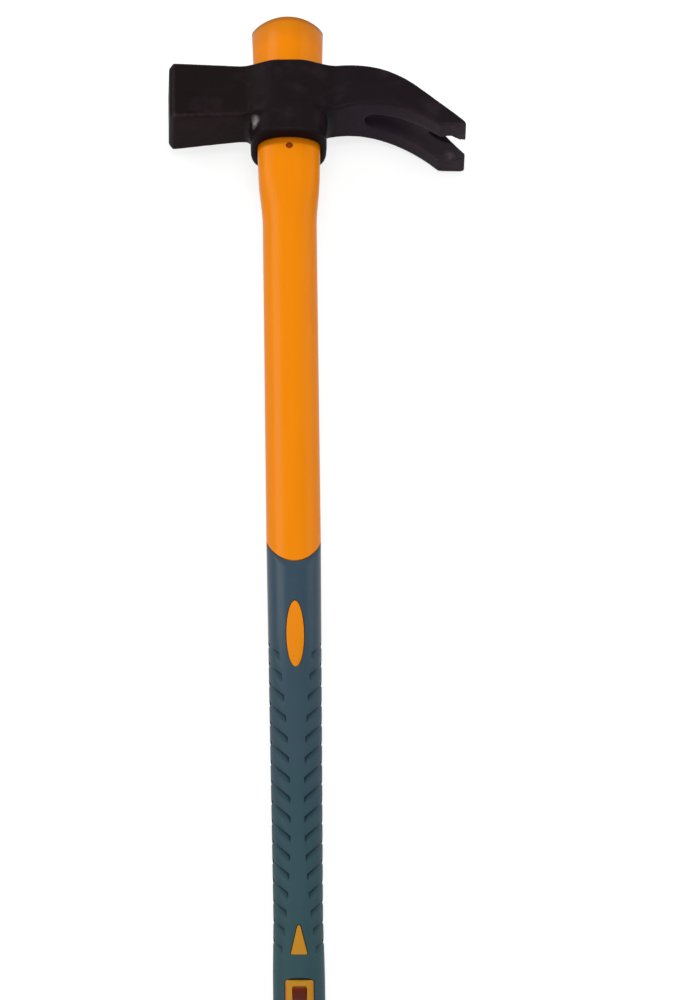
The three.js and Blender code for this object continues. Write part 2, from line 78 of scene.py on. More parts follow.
# Handle
END = 27.2
CROWN = 1.8
END_SIZE = (35.6, 31.5)
SOCKET_SIZE = (30.6, 23.4)
SHAFT_SIZE = (26.9, 22.5)
WAIST_SIZE = (24.3, 20.6)
BUTT_SIZE = (25.4, 21.8)
END_POWER = 1.3
SOCKET_POWER = 3.6
SHAFT_POWER = 2.0
SHOULDER = -56.7
SHAFT_START = -87.7
BUTT = -581.8
WAIST = BUTT + 98
FLARE_LENGTH = 42
BUTT_ROUNDING = 7
CORE_BORE = 6.8
BORE_DEPTH = 8
BORE_LIP = 0.5
PIN_HEIGHT = -47.0
PIN_BORE = 1.8

# Head
RIM = -42.7

# Grip
GRIP_TOP = BUTT + 309.5
GRIP_WALL = 2.2
GRIP_END = 5
GAP = 0.3
SCALLOP_DEPTH = 17.9
SCALLOP_POWER = 1.2
CHEVRON_COUNT = 16
CHEVRON_DROP = 58
CHEVRON_PITCH = 11.26
CHEVRON_SLOPE = 1.15
CHEVRON_DEPTH = 1.3
CHEVRON_WALL = 0.4
BAND_MIDDLE = 3.7
BAND_END = 8.3
OVAL_SIZE = (8.8, 38)
OVAL_HEIGHT = GRIP_TOP - 59.6
TRIANGLE_SIZE = (8.5, 20.2)
TRIANGLE_BASE = BUTT + 66.8
WINDOW_CORNER = 0.9
HOLE_SIZE = (7.2, 22)
HOLE_HEIGHT = BUTT + 37.9
FRAME_BAR = 3.4
FRAME_END = 4.3

# Fineness of the meshes
SHAFT_COLUMNS = 112
SIDE_COLUMNS = 40
BAND_COLUMNS = 8
PIN_COLUMNS = 24
OUTLINE_POINTS = 64
CORNER_POINTS = 6
SHAFT_ROWS = 8
SHOULDER_ROWS = 24
END_ROWS = 8
CROWN_ROWS = 16
CROWN_ROWS_OPEN = 11  # those that stand outside the bore
CROWN_ROWS_OVAL = 4  # those that keep the end's outline, before it turns round
LINING_ROWS = 12
ABOVE_ROWS = 14
BELOW_ROWS = 12
BUTT_ROWS = 8

# Places on the frame
jacket_low, jacket_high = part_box("handle_jacket")
axis_x = (jacket_low.x + jacket_high.x) / 2
axis_z = (jacket_low.z + jacket_high.z) / 2
head_top_y = cad_low.y - BUTT * MM


def at(x, y, z):
    return Vector((axis_x + x * MM, head_top_y + z * MM, axis_z - y * MM))


def mix(a, b, t):
    return a + (b - a) * t


def ease(t):
    t = min(max(t, 0), 1)
    return t * t * (3 - 2 * t)


def add(data, name):
    piece = bpy.data.objects.new(name, data)
    bpy.context.scene.collection.objects.link(piece)
    return piece


# Camera

def make_camera():
    camera = add(bpy.data.cameras.new("camera"), "camera")
    camera.data.sensor_fit = "VERTICAL"
    camera.data.sensor_height = SENSOR_HEIGHT
    camera.data.lens = FOCAL_PIXELS / IMAGE_HEIGHT * SENSOR_HEIGHT
    camera.data.clip_end = CLIP_END
    turn = Matrix.Rotation(YAW, 3, "Y") @ Matrix.Rotation(TILT, 3, "X") @ Matrix.Rotation(ROLL, 3, "Z")
    right = (HEAD_PIXEL[0] - IMAGE_WIDTH / 2) / FOCAL_PIXELS
    up = (IMAGE_HEIGHT / 2 - HEAD_PIXEL[1]) / FOCAL_PIXELS
    ray = turn @ Vector((right, up, -1))
    place = at(0, 0, 0) - HEAD_DISTANCE * ray
    camera.matrix_world = Matrix.Translation(place) @ turn.to_4x4()
    bpy.context.scene.camera = camera


make_camera()


# Nodes

def new_node(tree, kind, settings=None, inputs=None):
    made = tree.nodes.new(kind)
    for key, value in (settings or {}).items():
        setattr(made, key, value)
    for key, value in (inputs or {}).items():
        if isinstance(value, bpy.types.NodeSocket):
            tree.links.new(value, made.inputs[key])
        else:
            made.inputs[key].default_value = value
    return made


def new_material(name):
    material = bpy.data.materials.new(name)
    material.use_nodes = True
    tree = material.node_tree
    place = tree.nodes.new("ShaderNodeTexCoord").outputs["Object"]
    return material, tree, tree.nodes["Principled BSDF"], place


def axes(tree, vector):
    outputs = new_node(tree, "ShaderNodeSeparateXYZ", None, {0: vector}).outputs
    return outputs["X"], outputs["Y"], outputs["Z"]


def stretched(tree, place, scale):
    return new_node(tree, "ShaderNodeVectorMath", {"operation": "MULTIPLY"}, {0: place, 1: scale}).outputs[0]


def grain(tree, place, scale, detail):
    inputs = {"Vector": place, "Scale": scale, "Detail": detail}
    return new_node(tree, "ShaderNodeTexNoise", None, inputs).outputs["Fac"]


# A value between two ends, brought to another pair of ends
def span(tree, value, ends, to=(0, 1)):
    inputs = {"Value": value, "From Min": ends[0], "From Max": ends[1], "To Min": to[0], "To Max": to[1]}
    return new_node(tree, "ShaderNodeMapRange", None, inputs).outputs["Result"]


def blend(tree, factor, first, second):
    made = new_node(tree, "ShaderNodeMix", {"data_type": "RGBA"}, {"Factor": factor})
    colors = [socket for socket in made.inputs if socket.type == "RGBA"]
    for socket, value in zip(colors, (first, second)):
        if isinstance(value, bpy.types.NodeSocket):
            tree.links.new(value, socket)
        else:
            socket.default_value = (*value, 1)
    return next(socket for socket in made.outputs if socket.type == "RGBA")


def calculate(tree, operation, *values):
    return new_node(tree, "ShaderNodeMath", {"operation": operation}, dict(enumerate(values))).outputs[0]


def times(tree, first, second):
    return calculate(tree, "MULTIPLY", first, second)


def larger(tree, first, second):
    return calculate(tree, "MAXIMUM", first, second)


def distance(tree, value, middle):
    return calculate(tree, "ABSOLUTE", calculate(tree, "SUBTRACT", value, middle))


def bump(tree, height, strength, reach, normal=None):
    inputs = {"Height": height, "Strength": strength, "Distance": reach}
    if normal:
        inputs["Normal"] = normal
    return new_node(tree, "ShaderNodeBump", None, inputs).outputs["Normal"]


def dress(tree, shader, color, roughness, normal):
    tree.links.new(color, shader.inputs["Base Color"])
    tree.links.new(roughness, shader.inputs["Roughness"])
    tree.links.new(normal, shader.inputs["Normal"])


# Ends of masks, from millimetres on the part to places on the frame
def along_head(ends):
    return [axis_x + x * MM for x in ends]


def along_handle(ends):
    return [head_top_y + z * MM for z in ends]


def off_axis(ends):
    return [y * MM for y in ends]


# Where a noise lies: nearly all of it, its middle, its narrow middle and its peaks
NOISE = (0.3, 0.7)
NOISE_MIDDLE = (0.35, 0.65)
NOISE_NARROW = (0.40, 0.60)
NOISE_PEAKS = (0.52, 0.72)

# Black lacquer over a forged skin: colours
LACQUER = (0.0124, 0.0078, 0.0080)
# Bluer towards the claw: partly the lacquer's tint, partly a painted sheen on the cheek
LACQUER_ON_CLAW = (0.0134, 0.0090, 0.0128)
LACQUER_DARK = (0.0080, 0.0056, 0.0060)
LACQUER_CLOUDED = (0.026, 0.018, 0.023)
# Painted reflection of the floor, browning the poll's downward faces
LACQUER_REFLECTED_BROWN = (0.0155, 0.0042, 0.0066)
# Painted light on the claw's underside
LACQUER_UNDER_LIT = (0.028, 0.017, 0.029)
# Painted light in the shade of the claw's nail groove
LACQUER_GROOVE_LIT = (0.042, 0.033, 0.043)
# Worn claw tips, with a painted highlight
LACQUER_ON_TIPS = (0.052, 0.037, 0.045)
# Worn sharp edges, with a painted highlight line, mostly on the poll
LACQUER_ON_EDGES = (0.060, 0.046, 0.052)
# Painted glints, in a bare-steel grey
GLINT_GREY = (0.340, 0.305, 0.310)

# Where the lacquer changes: along the head, off the handle's axis, and by the way that a surface faces
CLAW_TINT_AND_SHEEN = (-36, 54)
POLL_BROWN = (-16, -22)
POLL_EDGES = (-31, -16)
CLAW_UNDER_LIT = (19, 34)
CLAW_EDGE_UNDER_LIT = (48, 60)
CLAW_LIGHTENED = (52, 64)
TIP_WEAR_AND_HIGHLIGHT = (72, 82)
NEAR_EDGE = (21, 12)
GROOVE_WALLS = (16, 14)
GROOVE_FLOOR = (12.5, 8.5)
WALLS_FACING = (-0.1, -0.35)
UNDER_FACING = (-0.40, -0.65)
SHARP_EDGES = (0.506, 0.540)

# Painted glints on the head, in a bare-steel grey: middle, reach and strength
PAINTED_GLINTS = (
    ((-17.0, -12.9, -33.9), 4.2, 1.0),
    ((80.7, 9.8, -38.8), 3.4, 0.22),
)
GLINT_CORE = 0.6


def lacquer(tree, place, x, broad):
    # The ramp towards the claw is partly tint, partly a painted sheen on the cheek.
    tone = blend(tree, span(tree, x, along_head(CLAW_TINT_AND_SHEEN)), LACQUER, LACQUER_ON_CLAW)
    uneven = blend(tree, span(tree, broad, NOISE_MIDDLE, (0, 0.45)), tone, LACQUER_DARK)
    clouds = span(tree, grain(tree, place, scale=95, detail=4), NOISE_PEAKS, (0, 0.55))
    return blend(tree, clouds, uneven, LACQUER_CLOUDED)


# Undersides: a painted reflection browns the poll's; painted light pales the claw's and fills the shade of
# its nail groove; the tips get worn chips with a painted highlight
def undersides(tree, color, x, z, facing, broad, chips):
    from_middle = distance(tree, z, axis_z)
    walls = times(tree, span(tree, facing, WALLS_FACING), span(tree, from_middle, off_axis(GROOVE_WALLS)))
    under = larger(tree, span(tree, facing, UNDER_FACING), walls)
    # Painted reflection: the poll's downward faces turn browner, mottled.
    poll = times(tree, under, span(tree, x, along_head(POLL_BROWN), (0, 0.85)))
    brown = times(tree, poll, span(tree, broad, NOISE_MIDDLE, (0.6, 1)))
    reflection_browned = blend(tree, brown, color, LACQUER_REFLECTED_BROWN)
    # Painted light: the claw's underside is paler, less so by its near edge, and fully so towards the tips.
    near_edge = [axis_z + y for y in off_axis(NEAR_EDGE)]
    inward = span(tree, z, near_edge, (0.15, 1))
    paler = larger(tree, inward, span(tree, x, along_head(CLAW_EDGE_UNDER_LIT)))
    claw = times(tree, under, span(tree, x, along_head(CLAW_UNDER_LIT)))
    lit_underside = blend(tree, times(tree, claw, paler), reflection_browned, LACQUER_UNDER_LIT)
    claw_under_lightened = times(tree, under, span(tree, x, along_head(CLAW_LIGHTENED)))
    # The tips: worn chips with a painted highlight.
    tips = times(tree, claw_under_lightened, span(tree, x, along_head(TIP_WEAR_AND_HIGHLIGHT), (0, 0.9)))
    tipped = blend(tree, times(tree, tips, chips), lit_underside, LACQUER_ON_TIPS)
    # Painted light filling the shade on the nail groove's floor.
    groove = times(tree, claw_under_lightened, span(tree, from_middle, off_axis(GROOVE_FLOOR)))
    return blend(tree, groove, tipped, LACQUER_GROOVE_LIT)


def add_painted_glints(tree, color, place, chips):
    for middle, reach, strength in PAINTED_GLINTS:
        inputs = {0: place, 1: at(*middle)}
        away = new_node(tree, "ShaderNodeVectorMath", {"operation": "DISTANCE"}, inputs).outputs["Value"]
        glint = times(tree, span(tree, away, off_axis((reach, GLINT_CORE)), (0, strength)), chips)
        color = blend(tree, glint, color, GLINT_GREY)
    return color


def black_steel():
    material, tree, shader, place = new_material("black_steel")
    broad = grain(tree, place, scale=55, detail=3)
    peel = grain(tree, place, scale=520, detail=2)
    speck = grain(tree, place, scale=1800, detail=1)
    chips = span(tree, grain(tree, place, scale=420, detail=3), NOISE_NARROW, (0.45, 1))
    surface = new_node(tree, "ShaderNodeNewGeometry").outputs
    facing = axes(tree, surface["Normal"])[1]
    x, _, z = axes(tree, place)
    painted = undersides(tree, lacquer(tree, place, x, broad), x, z, facing, broad, chips)
    # Worn sharp edges with a painted highlight line, mostly on the poll.
    edges = times(tree, span(tree, surface["Pointiness"], SHARP_EDGES, (0, 0.75)), chips)
    edge_wear_and_highlight = times(tree, edges, span(tree, x, along_head(POLL_EDGES), (1, 0.15)))
    color = add_painted_glints(tree, blend(tree, edge_wear_and_highlight, painted, LACQUER_ON_EDGES), place, chips)
    roughness = span(tree, speck, NOISE, (0.36, 0.50))
    soft = bump(tree, broad, strength=0.35, reach=0.0012)
    normal = bump(tree, peel, strength=0.22, reach=0.0002, normal=soft)
    dress(tree, shader, color, roughness, normal)
    shader.inputs["Specular IOR Level"].default_value = 0.035
    return material


# Moulded orange plastic with faint flow marks along the handle: colours
ORANGE = (0.870, 0.243, 0.0006)
ORANGE_LIGHT = (0.900, 0.257, 0.0012)
ORANGE_DULL = (0.490, 0.232, 0.020)
# Painted shade on the hang hole's inner walls
ORANGE_HOLE_SHADE = (0.480, 0.028, 0.0001)
# Painted shadow of the head's collar on the handle
ORANGE_RIM_SHADOW = (0.270, 0.060, 0.001)
# Darker towards the crowned end
ORANGE_DARKER_TO_END = (0.300, 0.110, 0.012)
# Painted shade on the rounded edge of the crowned end
ORANGE_END_SHADE = (0.300, 0.110, 0.016)

# Where it changes: along the handle and off its axis
BUTT_DULL = (-276, -536)
HOLE_SHADE_ALONG = (-476, -516)
HOLE_INSIDE = (9.8, 8.5)
RIM_SHADOW_BELOW = (RIM - 3.6, RIM - 2.2)
RIM_SHADOW_ABOVE = (RIM + 5, RIM + 10)
END_DARKENING = (END - 13.6, END - 2.6)
END_EDGE_SHADE = (END - 2.6, END - 0.6)
CROWN_SHADE_FADE = (END + 0.4, END + 1)


def orange_plastic():
    material, tree, shader, place = new_material("orange_plastic")
    flow = grain(tree, stretched(tree, place, (1, 0.12, 1)), scale=160, detail=3)
    fine = grain(tree, place, scale=2200, detail=1)
    _, y, z = axes(tree, place)
    fresh = blend(tree, span(tree, flow, NOISE), ORANGE, ORANGE_LIGHT)
    handled = blend(tree, span(tree, y, along_handle(BUTT_DULL)), fresh, ORANGE_DULL)
    # Painted shade inside the hang hole.
    inside = span(tree, distance(tree, z, axis_z), off_axis(HOLE_INSIDE), (0, 0.85))
    hole_shade = times(tree, inside, span(tree, y, along_handle(HOLE_SHADE_ALONG)))
    hole_shaded = blend(tree, hole_shade, handled, ORANGE_HOLE_SHADE)
    # Painted shadow of the collar, just below its rim.
    shadow_top_fade = span(tree, y, along_handle(RIM_SHADOW_ABOVE), (1, 0))
    ring = times(tree, span(tree, y, along_handle(RIM_SHADOW_BELOW), (0, 0.5)), shadow_top_fade)
    rim_shaded = blend(tree, ring, hole_shaded, ORANGE_RIM_SHADOW)
    # Darker towards the crowned end.
    end_darkened = blend(tree, span(tree, y, along_handle(END_DARKENING), (0, 0.34)), rim_shaded, ORANGE_DARKER_TO_END)
    # Painted shade along the end's rounded edge, fading over the crown.
    below_crown = span(tree, y, along_handle(CROWN_SHADE_FADE), (1, 0.3))
    brim = times(tree, span(tree, y, along_handle(END_EDGE_SHADE), (0, 0.70)), below_crown)
    color = blend(tree, brim, end_darkened, ORANGE_END_SHADE)
    roughness = span(tree, flow, NOISE, (0.26, 0.32))
    soft = bump(tree, flow, strength=0.05, reach=0.0006)
    normal = bump(tree, fine, strength=0.05, reach=0.00005, normal=soft)
    dress(tree, shader, color, roughness, normal)
    shader.inputs["Specular IOR Level"].default_value = 0.07
    return material


# Soft rubber with a fine matt grain, a little greener towards the butt, with painted shade in its grooves
RUBBER_GREEN = (0.0255, 0.0720, 0.0820)
RUBBER_BLUE = (0.0365, 0.0665, 0.0990)
RUBBER_CLOUDED = (0.050, 0.086, 0.112)
# Painted shade in the grooves
RUBBER_GROOVE_SHADE = (0.005, 0.018, 0.025)
RUBBER_TINT = (-516, -296)
RUBBER_MATT = (-321, -366)
HOLLOWS = (0.494, 0.45)


def grey_rubber():
    material, tree, shader, place = new_material("grey_rubber")
    _, y, _ = axes(tree, place)
    cloudy = grain(tree, place, scale=70, detail=3)
    fine = grain(tree, place, scale=2600, detail=2)
    tinted = blend(tree, span(tree, y, along_handle(RUBBER_TINT)), RUBBER_GREEN, RUBBER_BLUE)
    clouded = blend(tree, span(tree, cloudy, NOISE, (0, 0.2)), tinted, RUBBER_CLOUDED)
    # Painted shade where the surface folds into the grooves.
    pointiness = new_node(tree, "ShaderNodeNewGeometry").outputs["Pointiness"]
    color = blend(tree, span(tree, pointiness, HOLLOWS, (0, 0.85)), clouded, RUBBER_GROOVE_SHADE)
    matt = span(tree, y, along_handle(RUBBER_MATT), (0, 0.20))
    roughness = calculate(tree, "ADD", span(tree, fine, NOISE, (0.25, 0.34)), matt)
    normal = bump(tree, fine, strength=0.20, reach=0.00008)
    dress(tree, shader, color, roughness, normal)
    shader.inputs["Specular IOR Level"].default_value = 0.12
    return material


# The sawn end of a pulled glass rod: bundles of fibre in resin
FIBRE = (0.56, 0.47, 0.24)
RESIN = (0.36, 0.28, 0.12)
FIBRE_TO_RESIN = (0.1, 0.7)


def raw_fibreglass():
    material, tree, shader, place = new_material("raw_fibreglass")
    inputs = {"Vector": stretched(tree, place, (1, 0.02, 1)), "Scale": 1100}
    bundles = new_node(tree, "ShaderNodeTexVoronoi", None, inputs).outputs["Distance"]
    fine = grain(tree, place, scale=3000, detail=2)
    color = blend(tree, span(tree, bundles, FIBRE_TO_RESIN), FIBRE, RESIN)
    roughness = span(tree, fine, NOISE, (0.50, 0.72))
    normal = bump(tree, bundles, strength=0.25, reach=0.0002)
    dress(tree, shader, color, roughness, normal)
    return material


# Plain steel, rusted brown
RUST = (0.280, 0.042, 0.002)
RUST_LIGHT = (0.340, 0.060, 0.003)


def pin_steel():
    material, tree, shader, place = new_material("pin_steel")
    lines = grain(tree, stretched(tree, place, (1, 1, 0.1)), scale=2400, detail=2)
    color = blend(tree, span(tree, lines, NOISE), RUST, RUST_LIGHT)
    roughness = span(tree, lines, NOISE, (0.55, 0.70))
    normal = bump(tree, lines, strength=0.15, reach=0.00005)
    dress(tree, shader, color, roughness, normal)
    shader.inputs["Specular IOR Level"].default_value = 0.1
    return material


# Handle sections

def oval(angle, power):
    across = math.sin(angle)
    return math.cos(angle), math.copysign(abs(across) ** (2 / power), across)


def between(first, second, t):
    return mix(first[0], second[0], t), mix(first[1], second[1], t)


def handle_size(z):
    if z >= SHOULDER:
        t = (z - SHOULDER) / (END - SHOULDER)
        return *between(SOCKET_SIZE, END_SIZE, t), mix(SOCKET_POWER, END_POWER, t)
    if z >= SHAFT_START:
        t = ease((z - SHAFT_START) / (SHOULDER - SHAFT_START))
        return *between(SHAFT_SIZE, SOCKET_SIZE, t), mix(SHAFT_POWER, SOCKET_POWER, t)
    if z >= WAIST:
        t = min(max((GRIP_TOP - z) / (GRIP_TOP - WAIST), 0), 1)
        return *between(SHAFT_SIZE, WAIST_SIZE, t), SHAFT_POWER
    return *between(WAIST_SIZE, BUTT_SIZE, ease((WAIST - z) / FLARE_LENGTH)), SHAFT_POWER


def section_point(angle, z, offset):
    width, depth, power = handle_size(z)
    cx, cy = oval(angle, power)
    return cx * (width / 2 + offset), cy * (depth / 2 + offset)


# The flared end runs straight from its section at the shoulder to the one at its end.
def handle_point(angle, z, offset=0.0):
    if z <= SHOULDER:
        return *section_point(angle, z, offset), z
    foot = section_point(angle, SHOULDER, offset)
    end = section_point(angle, END, offset)
    return *between(foot, end, (z - SHOULDER) / (END - SHOULDER)), z


# The grip's edge dips at the front and back.
def scallop(angle):
    share = abs(math.sin(angle))
    return GRIP_TOP - SCALLOP_DEPTH * share ** SCALLOP_POWER


def full_turn(count):
    return [2 * math.pi * i / count for i in range(count)]


def level_ring(turns, z, offset=0.0):
    return [handle_point(turn, z, offset) for turn in turns]


def edge_ring(turns, lift, offset):
    return [handle_point(turn, scallop(turn) + lift, offset) for turn in turns]


# Meshes

def skin(rings, caps=True):
    count = len(rings[0])
    points = [point for ring in rings for point in ring]
    faces = []
    for row in range(len(rings) - 1):
        for i in range(count):
            j = (i + 1) % count
            a = row * count
            faces.append((a + i, a + j, a + count + j, a + count + i))
    if caps:
        faces.append(tuple(reversed(range(count))))
        last = (len(rings) - 1) * count
        faces.append(tuple(range(last, last + count)))
    return points, faces


def join(shells):
    points = []
    faces = []
    for shell_points, shell_faces in shells:
        start = len(points)
        points.extend(shell_points)
        faces.extend(tuple(start + i for i in face) for face in shell_faces)
    return points, faces


def mesh_of(name, shell):
    points, faces = shell
    data = bpy.data.meshes.new(name)
    data.from_pydata([at(*point) for point in points], [], faces)
    work = bmesh.new()
    work.from_mesh(data)
    bmesh.ops.recalc_face_normals(work, faces=work.faces)
    work.to_mesh(data)
    work.free()
    return data


def settled(piece, name):
    graph = bpy.context.evaluated_depsgraph_get()
    data = bpy.data.meshes.new_from_object(piece.evaluated_get(graph))
    data.name = name
    bpy.data.objects.remove(piece)
    return data


def cut(data, cutter_shell, name):
    piece = add(data, name)
    cutter = add(mesh_of("cutter", cutter_shell), "cutter")
    change = piece.modifiers.new("cut", "BOOLEAN")
    change.operation = "DIFFERENCE"
    change.solver = "EXACT"
    change.object = cutter
    done = settled(piece, name)
    bpy.data.objects.remove(cutter)
    return done


def finish_piece(data, name, material, node, sharp):
    data.materials.clear()
    data.materials.append(material)
    data.shade_smooth()
    data.set_sharp_from_angle(angle=math.radians(sharp))
    piece = add(data, name)
    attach(piece, "root")
    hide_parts(node)


# Window outlines, as points (x, z) that keep their count and order when they grow by a margin

def oval_outline(margin):
    half_x = OVAL_SIZE[0] / 2 + margin
    half_z = OVAL_SIZE[1] / 2 + margin
    return [(half_x * math.cos(t), OVAL_HEIGHT + half_z * math.sin(t)) for t in full_turn(OUTLINE_POINTS)]


def arc(x, z, radius, start, end):
    turns = [mix(start, end, i / (CORNER_POINTS - 1)) for i in range(CORNER_POINTS)]
    return [(x + radius * math.cos(t), z + radius * math.sin(t)) for t in turns]


def triangle_outline(margin):
    width, length = TRIANGLE_SIZE
    half_apex = math.atan2(width / 2, length)
    apex = TRIANGLE_BASE + length - WINDOW_CORNER / math.sin(half_apex)
    foot = width / 2 - WINDOW_CORNER / math.tan((math.pi / 2 - half_apex) / 2)
    low = TRIANGLE_BASE + WINDOW_CORNER
    radius = WINDOW_CORNER + margin
    right = arc(foot, low, radius, -math.pi / 2, half_apex)
    top = arc(0, apex, radius, half_apex, math.pi - half_apex)
    left = arc(-foot, low, radius, math.pi - half_apex, 1.5 * math.pi)
    return right + top + left


def box_outline(half_x, half_z, margin):
    x = half_x - WINDOW_CORNER
    z = half_z - WINDOW_CORNER
    radius = WINDOW_CORNER + margin
    quarter = math.pi / 2
    corners = ((x, z, 0), (-x, z, quarter), (-x, -z, 2 * quarter), (x, -z, 3 * quarter))
    return [p for cx, cz, turn in corners for p in arc(cx, HOLE_HEIGHT + cz, radius, turn, turn + quarter)]


def frame_outline(margin):
    return box_outline(HOLE_SIZE[0] / 2 + FRAME_BAR, HOLE_SIZE[1] / 2 + FRAME_END, margin)


def hole_outline(margin):
    return box_outline(HOLE_SIZE[0] / 2, HOLE_SIZE[1] / 2, margin)


def on_surface(outline, side, drop):
    ring = []
    for x, z in outline:
        width, depth, _ = handle_size(z)
        y = depth / 2 * math.sqrt(max(0, 1 - (2 * x / width) ** 2)) - drop
        ring.append((x, side * y, z))
    return ring


def towards_middle(outline, share):
    middle_x = sum(x for x, _ in outline) / len(outline)
    middle_z = sum(z for _, z in outline) / len(outline)
    return [(mix(middle_x, x, share), mix(middle_z, z, share)) for x, z in outline]


# The rounded edge of an island: how far in from its outline, and how far below its surface
ISLAND_EDGE = ((0, 0.45), (-0.05, 0.22), (-0.18, 0.07), (-0.40, 0))
ISLAND_INSET = ISLAND_EDGE[-1][0]

# Rings across the face of an island and of the hang hole's frame, as shares of the way
ISLAND_RINGS = (0.8, 0.6, 0.4, 0.2, 0.05)
FRAME_RINGS = (0.33, 0.67)


def island(outline, side):
    rings = [on_surface(outline(0), side, GRIP_WALL + GAP)]
    rings += [on_surface(outline(margin), side, drop) for margin, drop in ISLAND_EDGE]
    inner = outline(ISLAND_INSET)
    rings += [on_surface(towards_middle(inner, share), side, 0) for share in ISLAND_RINGS]
    return skin(rings)


def hang_frame():
    rings = []
    for side in (-1, 1):
        face = [on_surface(frame_outline(margin), side, drop) for margin, drop in ISLAND_EDGE]
        outer = frame_outline(ISLAND_INSET)
        inner = hole_outline(-ISLAND_INSET)
        for share in FRAME_RINGS:
            face.append(on_surface([between(a, b, share) for a, b in zip(outer, inner)], side, 0))
        face += [on_surface(hole_outline(-margin), side, drop) for margin, drop in reversed(ISLAND_EDGE)]
        rings += face if side < 0 else face[::-1]
    return skin(rings + rings[:1], caps=False)


def prism(outline):
    reach = SHAFT_SIZE[1]
    return skin([[(x, y, z) for x, z in outline] for y in (-reach, reach)])


# The jacket's edge along the grip: lift above the gap, and offset from the surface
JACKET_EDGE = ((0, -0.5), (0.06, -0.2), (0.25, 0))

# Above the edge, rings turn level by these shares of the way.
LEVELLING = (0.15, 0.3, 0.45, 0.6, 0.8, 1)
LEVEL_START = GRIP_TOP + 10

# Rows round the pin's hole
PIN_ROWS = [PIN_HEIGHT + step for step in (-4, -3, -2, -1, 0, 1, 2, 3, 4)]

# The edge of the bore in the crown: how far out from the bore, and how far below the lip
BORE_EDGE = ((0.15, 0.1), (0, 0.4))


def circle(turns, radius, z):
    return [(radius * math.cos(turn), radius * math.sin(turn), z) for turn in turns]


# The crowned end: from the handle's outline to a round lip, and down into the core's bore
def crown(turns):
    width, depth, power = handle_size(END)
    rings = []
    for row in range(1, CROWN_ROWS_OPEN + 1):
        rise = math.pi / 2 * row / CROWN_ROWS
        lip = END + CROWN * math.sin(rise)
        to_round = ease((row - CROWN_ROWS_OVAL) / (CROWN_ROWS_OPEN - CROWN_ROWS_OVAL))
        ring = []
        for turn, (lip_x, lip_y, z) in zip(turns, circle(turns, CORE_BORE + BORE_LIP, lip)):
            cx, cy = oval(turn, power)
            x = mix(width / 2 * math.cos(rise) * cx, lip_x, to_round)
            y = mix(depth / 2 * math.cos(rise) * cy, lip_y, to_round)
            ring.append((x, y, z))
        rings.append(ring)
    rings += [circle(turns, CORE_BORE + out, lip - drop) for out, drop in BORE_EDGE]
    return rings + [circle(turns, CORE_BORE, END - BORE_DEPTH)]


# The shaft: from under the grip's edge up through the eye to the crowned end
def shaft():
    turns = full_turn(SHAFT_COLUMNS)
    seat = -GRIP_WALL - GAP
    rings = [level_ring(turns, GRIP_TOP - 2 * SCALLOP_DEPTH, seat), edge_ring(turns, GAP, seat)]
    rings += [edge_ring(turns, GAP + lift, offset) for lift, offset in JACKET_EDGE]
    lifted = GAP + JACKET_EDGE[-1][0]
    for share in LEVELLING:
        rings.append([handle_point(t, mix(scallop(t) + lifted, LEVEL_START, share)) for t in turns])
    heights = [mix(LEVEL_START, SHAFT_START, i / SHAFT_ROWS) for i in range(1, SHAFT_ROWS)]
    heights += [mix(SHAFT_START, SHOULDER, i / SHOULDER_ROWS) for i in range(SHOULDER_ROWS + 1)]
    heights += PIN_ROWS
    heights += [mix(PIN_ROWS[-1], END, i / END_ROWS) for i in range(1, END_ROWS + 1)]
    rings += [level_ring(turns, z) for z in heights]
    return skin(rings + crown(turns))


def pin_hole():
    reach = END_SIZE[1]
    rings = []
    for y in (-reach, reach):
        rings.append([(x, y, PIN_HEIGHT + z) for x, z, _ in circle(full_turn(PIN_COLUMNS), PIN_BORE, 0)])
    return skin(rings)


def make_jacket():
    body = cut(mesh_of("shaft", shaft()), pin_hole(), "handle")
    islands = [island(outline, side) for outline in (oval_outline, triangle_outline) for side in (-1, 1)]
    raised = mesh_of("islands", join([*islands, hang_frame()]))
    work = bmesh.new()
    work.from_mesh(body)
    work.from_mesh(raised)
    work.to_mesh(body)
    work.free()
    bpy.data.meshes.remove(raised)
    finish_piece(body, "handle", orange_plastic(), "handle_jacket", sharp=40)


# The grip: rings that fold into points at both sides, so that the grooves run along them

# Down a groove: distance from its middle and share of its depth.
# Its upper side is steep and its lower side a ramp.
GROOVE = (
    (1.45, 0),
    (1.20, 0.04),
    (1.00, 0.35),
    (0.80, 0.85),
    (0.60, 1),
    (-0.60, 1),
    (-1.00, 0.9),
    (-2.20, 0.45),
    (-3.30, 0.08),
    (-3.90, 0),
)

# The grip's edge, from its lining out to its surface: lift and offset from the surface
GRIP_EDGE = ((0, -GRIP_WALL), (0, -0.5), (-0.08, -0.18), (-0.35, 0))


# Round the grip: angle, angle along the fold, and 1 where the grooves sink in or 0 on the smooth bands
def grip_turns(band, width):
    reach = math.acos(band / (width / 2))
    wall = CHEVRON_WALL / (width / 2)
    side = [reach * (2 * i / SIDE_COLUMNS - 1) for i in range(SIDE_COLUMNS + 1)]
    start = reach + wall
    front = [mix(start, math.pi - start, i / BAND_COLUMNS) for i in range(BAND_COLUMNS + 1)]
    turns = [(t, abs(t), 1) for t in side] + [(t, min(t, math.pi - t), 0) for t in front]
    return turns + [(t + math.pi, fold, sunk) for t, fold, sunk in turns]


def fold_ring(z, spread, depth):
    width, thick, _ = handle_size(z)
    radius = (width + thick) / 4
    band = mix(BAND_MIDDLE, BAND_END, spread * spread)
    ring = []
    for turn, fold, sunk in grip_turns(band, width):
        ring.append(handle_point(turn, z - CHEVRON_SLOPE * radius * fold, -depth * sunk))
    return ring


